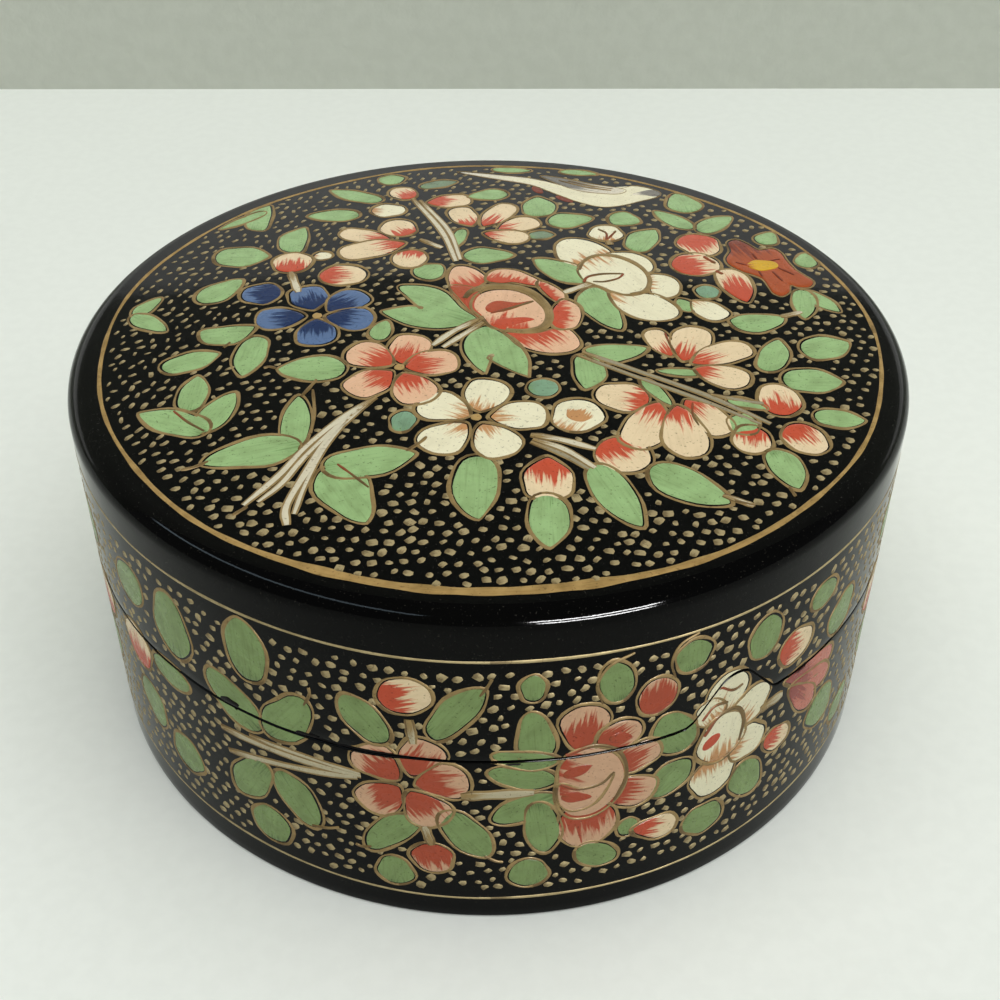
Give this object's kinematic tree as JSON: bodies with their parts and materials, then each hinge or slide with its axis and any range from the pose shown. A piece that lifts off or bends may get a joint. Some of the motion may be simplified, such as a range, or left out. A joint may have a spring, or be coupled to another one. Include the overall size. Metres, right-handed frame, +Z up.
{
  "type": "papier-mache box",
  "caption": "Round lacquered papier-mache box with a domed lift-off lid keyed to its base by a tongue and centred by an inner collar.",
  "frame": {"origin": "centre of the underside of the base, on the surface the box stands on", "axes": "+Z up along the axis of the box; the front of the painting looks towards -Y, so +X is to the right of someone who faces it"},
  "size_m": [0.09, 0.09, 0.0432],
  "materials": {
    "floor_board": "black lacquer over pressed paper pulp",
    "base_lacquer": "black gloss lacquer over pressed paper pulp, painted with flowers and gold dots",
    "collar_lacquer": "thin black lacquer over pressed paper pulp",
    "lid_lacquer": "black gloss lacquer over pressed paper pulp, painted with flowers and gold dots",
    "crown_lacquer": "black gloss lacquer over pressed paper pulp, painted with flowers and gold dots"
  },
  "bodies": {
    "base": {"base_floor": "floor_board", "base_wall": "base_lacquer", "locating_collar": "collar_lacquer"},
    "lid": {"lid_wall": "lid_lacquer", "lid_crown": "crown_lacquer"}
  },
  "joints": [
    {"name": "lid_lift", "type": "slide", "parent": "base", "child": "lid", "axis": [0, 0, 1], "range_m": [0, 0.06]}
  ]
}
